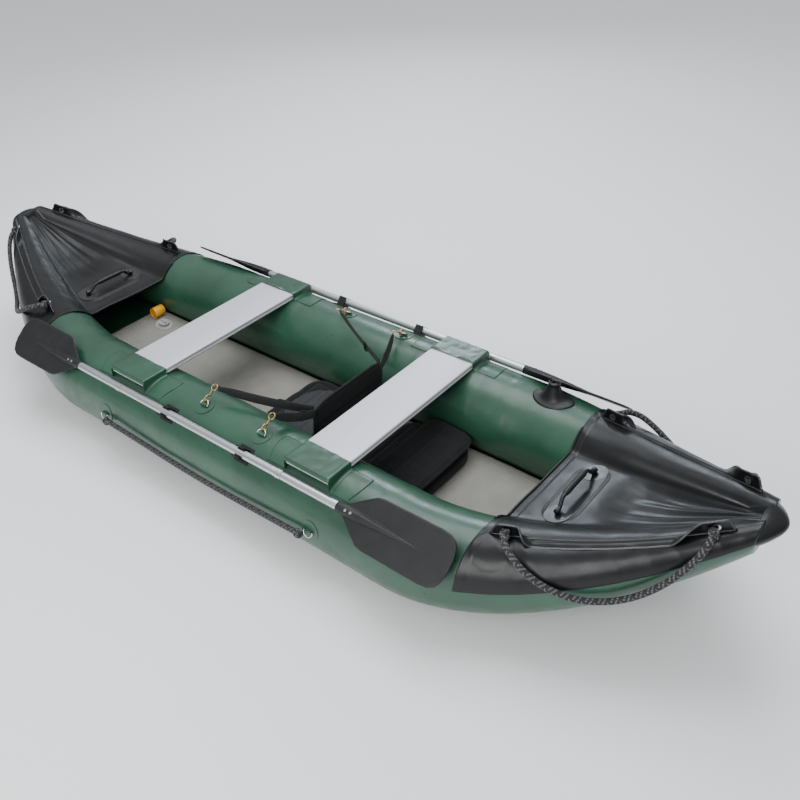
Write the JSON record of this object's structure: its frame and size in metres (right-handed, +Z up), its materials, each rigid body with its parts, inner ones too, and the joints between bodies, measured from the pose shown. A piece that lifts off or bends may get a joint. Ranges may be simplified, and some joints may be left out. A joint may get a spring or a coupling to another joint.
{
  "type": "inflatable kayak",
  "caption": "Two-person inflatable kayak, green side tubes, black decks, aluminium benches, stowed paddles and seats.",
  "frame": {"origin": "on the ground, under the middle of the hull's flat bottom", "axes": "+X towards the stern, +Y towards starboard, +Z up"},
  "size_m": [3.5, 1.0948, 0.5298],
  "materials": {
    "hull_green": "glossy PVC-coated fabric",
    "deck_black": "glossy PVC-coated fabric",
    "floor_fabric": "ribbed drop-stitch PVC",
    "seat_fabric": "woven nylon over foam",
    "webbing": "woven webbing",
    "rope": "braided rope with grey fleck",
    "bench_aluminium": "satin anodised",
    "shaft_aluminium": "satin anodised",
    "blade_plastic": "moulded, fine grain",
    "moulded_black": "moulded",
    "boot_rubber": "moulded rubber",
    "steel": "stainless",
    "brass": "cast, polished",
    "valve_grey": "moulded",
    "valve_black": "moulded",
    "tag_yellow": "PVC-coated fabric"
  },
  "bodies": {
    "hull": {"bottom_sheet": "hull_green", "floor_mat": "floor_fabric", "floor_valve": "valve_grey", "floor_valve_tag": "tag_yellow", "tube_valves": "valve_black", "port_tube": "hull_green", "port_side_rope": "rope", "starboard_tube": "hull_green", "starboard_side_rope": "rope", "bow_deck": "deck_black", "bow_nose_cap": "deck_black", "bow_port_cover": "deck_black", "bow_port_rope_flap": "deck_black", "bow_port_rope": "rope", "bow_port_bench_sleeve": "hull_green", "bow_starboard_cover": "deck_black", "bow_starboard_rope_flap": "deck_black", "bow_starboard_rope": "rope", "bow_starboard_bench_sleeve": "hull_green", "stern_deck": "deck_black", "stern_nose_cap": "deck_black", "stern_port_cover": "deck_black", "stern_port_rope_flap": "deck_black", "stern_port_rope": "rope", "stern_port_bench_sleeve": "hull_green", "stern_starboard_cover": "deck_black", "stern_starboard_rope_flap": "deck_black", "stern_starboard_rope": "rope", "stern_starboard_bench_sleeve": "hull_green", "grommets": "steel", "d_rings": "steel", "glued_patches": "deck_black", "snap_hooks": "brass", "paddle_clips": "moulded_black", "seat_straps": "webbing", "strap_buckles": "moulded_black", "middle_seat_base": "seat_fabric", "stern_seat_base": "seat_fabric", "rowlock_boot": "boot_rubber"},
    "bow_bench": {"bow_bench": "bench_aluminium"},
    "stern_bench": {"stern_bench": "bench_aluminium"},
    "bow_handle": {"bow_deck_handle": "moulded_black"},
    "stern_handle": {"stern_deck_handle": "moulded_black"},
    "middle_backrest": {"middle_seat_backrest": "seat_fabric"},
    "stern_backrest": {"stern_seat_backrest": "seat_fabric"},
    "floor_valve_cap": {"floor_valve_cap": "valve_grey"},
    "port_paddle": {"port_paddle_shaft": "shaft_aluminium", "port_paddle_fittings": "steel", "port_bow_blade": "blade_plastic", "port_stern_blade": "blade_plastic"},
    "port_tube_valve_cap": {"port_tube_valve_cap": "valve_black"},
    "port_fore_gate": {"port_fore_hook_gate": "brass"},
    "port_aft_gate": {"port_aft_hook_gate": "brass"},
    "starboard_paddle": {"starboard_paddle_shaft": "shaft_aluminium", "starboard_paddle_fittings": "steel", "starboard_bow_blade": "blade_plastic", "starboard_stern_blade": "blade_plastic"},
    "starboard_tube_valve_cap": {"starboard_tube_valve_cap": "valve_black"},
    "starboard_fore_gate": {"starboard_fore_hook_gate": "brass"},
    "starboard_aft_gate": {"starboard_aft_hook_gate": "brass"}
  },
  "joints": [
    {"name": "bow_bench_slide", "type": "slide", "parent": "hull", "child": "bow_bench", "axis": [0, 1, 0], "range_m": [-0.015, 0.015]},
    {"name": "bow_handle_swing", "type": "hinge", "parent": "hull", "child": "bow_handle", "pos_m": [-1.1622, 0, 0.30624], "axis": [0, 1, 0], "range_deg": [-60, 60]},
    {"name": "stern_bench_slide", "type": "slide", "parent": "hull", "child": "stern_bench", "axis": [0, 1, 0], "range_m": [-0.015, 0.015]},
    {"name": "stern_handle_swing", "type": "hinge", "parent": "hull", "child": "stern_handle", "pos_m": [1.1622, 0, 0.30624], "axis": [0, 1, 0], "range_deg": [-60, 60]},
    {"name": "port_paddle_lift", "type": "slide", "parent": "hull", "child": "port_paddle", "axis": [0, -0.6374, 0.7705], "range_m": [0, 0.12]},
    {"name": "port_tube_cap_turn", "type": "hinge", "parent": "hull", "child": "port_tube_valve_cap", "pos_m": [1.13, -0.15092, 0.18253], "axis": [-0.2669, 0.9503, -0.1602], "continuous": true},
    {"name": "port_fore_gate_swing", "type": "hinge", "parent": "hull", "child": "port_fore_gate", "pos_m": [-0.085, -0.35141, 0.34201], "axis": [-1, 0, 0], "range_deg": [0, 20], "stiffness_Nm_per_rad": 0.001},
    {"name": "port_aft_gate_swing", "type": "hinge", "parent": "hull", "child": "port_aft_gate", "pos_m": [0.2, -0.35141, 0.34201], "axis": [-1, 0, 0], "range_deg": [0, 20], "stiffness_Nm_per_rad": 0.001},
    {"name": "starboard_paddle_lift", "type": "slide", "parent": "hull", "child": "starboard_paddle", "axis": [0, 0.6374, 0.7705], "range_m": [0, 0.12]},
    {"name": "starboard_tube_cap_turn", "type": "hinge", "parent": "hull", "child": "starboard_tube_valve_cap", "pos_m": [1.13, 0.15092, 0.18253], "axis": [-0.2669, -0.9503, -0.1602], "continuous": true},
    {"name": "starboard_fore_gate_swing", "type": "hinge", "parent": "hull", "child": "starboard_fore_gate", "pos_m": [-0.085, 0.35141, 0.34201], "axis": [1, 0, 0], "range_deg": [0, 20], "stiffness_Nm_per_rad": 0.001},
    {"name": "starboard_aft_gate_swing", "type": "hinge", "parent": "hull", "child": "starboard_aft_gate", "pos_m": [0.2, 0.35141, 0.34201], "axis": [1, 0, 0], "range_deg": [0, 20], "stiffness_Nm_per_rad": 0.001},
    {"name": "floor_cap_turn", "type": "hinge", "parent": "hull", "child": "floor_valve_cap", "pos_m": [-0.991, 0.111, 0.09206], "axis": [0.1961, 0, 0.9806], "continuous": true},
    {"name": "middle_backrest_fold", "type": "hinge", "parent": "hull", "child": "middle_backrest", "pos_m": [0.2153, 0, 0.1346], "axis": [0, 1, 0], "range_deg": [-95, 0]},
    {"name": "stern_backrest_fold", "type": "hinge", "parent": "hull", "child": "stern_backrest", "pos_m": [0.6863, 0, 0.1346], "axis": [0, 1, 0], "range_deg": [0, 95]}
  ]
}
